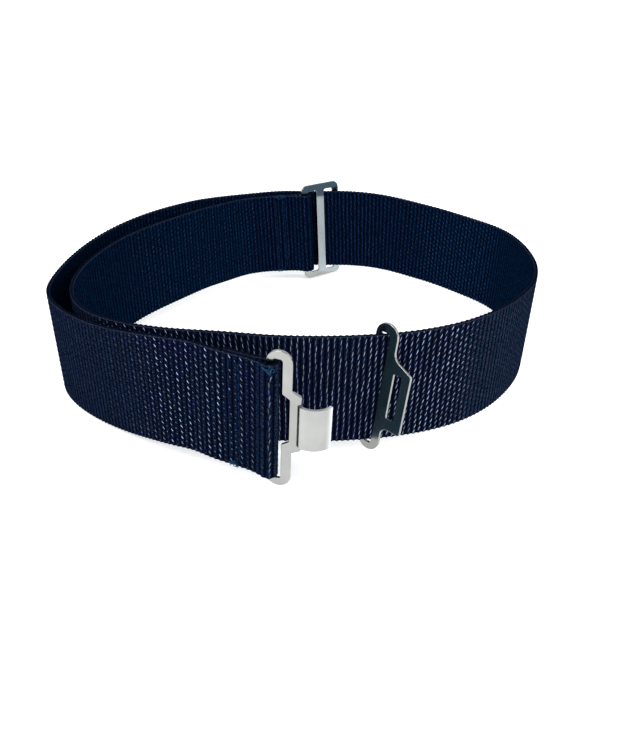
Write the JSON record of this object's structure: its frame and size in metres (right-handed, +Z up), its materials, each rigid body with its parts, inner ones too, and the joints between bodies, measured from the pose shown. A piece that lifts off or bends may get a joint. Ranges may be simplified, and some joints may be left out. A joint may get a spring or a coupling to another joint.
{
  "type": "weight belt",
  "caption": "Closed loop of flat webbing with a sewn-on hook plate at one end, a sliding eye plate that it catches in, and a slide that sets the length.",
  "frame": {"origin": "middle of the belt's outer box in plan, on the surface that it stands on", "axes": "+Z up, along the width of the webbing; the hook plate is towards -Y and the slide at the back towards +Y; the plate's tongue points to +X"},
  "size_m": [0.2398, 0.2388, 0.0656],
  "materials": {
    "navy_webbing": "coarse plain weave, dull",
    "blue_thread": "sewing thread",
    "stamped_steel": "satin, tumbled edges"
  },
  "bodies": {
    "belt": {"strap_loop": "navy_webbing", "slide_end_seam_1": "blue_thread", "slide_end_seam_2": "blue_thread"},
    "tail": {"strap_tail": "navy_webbing", "hook_end_seam_1": "blue_thread", "hook_end_seam_2": "blue_thread"},
    "hook_plate": {"hook_plate": "stamped_steel"},
    "eye_plate": {"eye_plate": "stamped_steel"},
    "slide": {"three_bar_slide": "stamped_steel"}
  },
  "joints": [
    {"name": "tail_flex", "type": "hinge", "parent": "belt", "child": "tail", "pos_m": [-0.11821, -0.02359, 0.025], "axis": [0, 0, 1], "range_deg": [-20, 0.5], "stiffness_Nm_per_rad": 0.05},
    {"name": "hook_plate_swing", "type": "hinge", "parent": "tail", "child": "hook_plate", "pos_m": [-0.01061, -0.11229, 0.0357], "axis": [0.0239, -0.0106, 0.9997], "range_deg": [-75, 60]},
    {"name": "eye_plate_slide", "type": "hinge", "parent": "belt", "child": "eye_plate", "pos_m": [0.00039, 0.08661, 0.0306], "axis": [0, 0, 1], "range_deg": [-10, 2.5]},
    {"name": "slide_swing", "type": "hinge", "parent": "belt", "child": "slide", "pos_m": [-0.00018, 0.10679, 0.0318], "axis": [-0.0555, 0.0058, 0.9984], "range_deg": [-1.2, 1.2]}
  ]
}
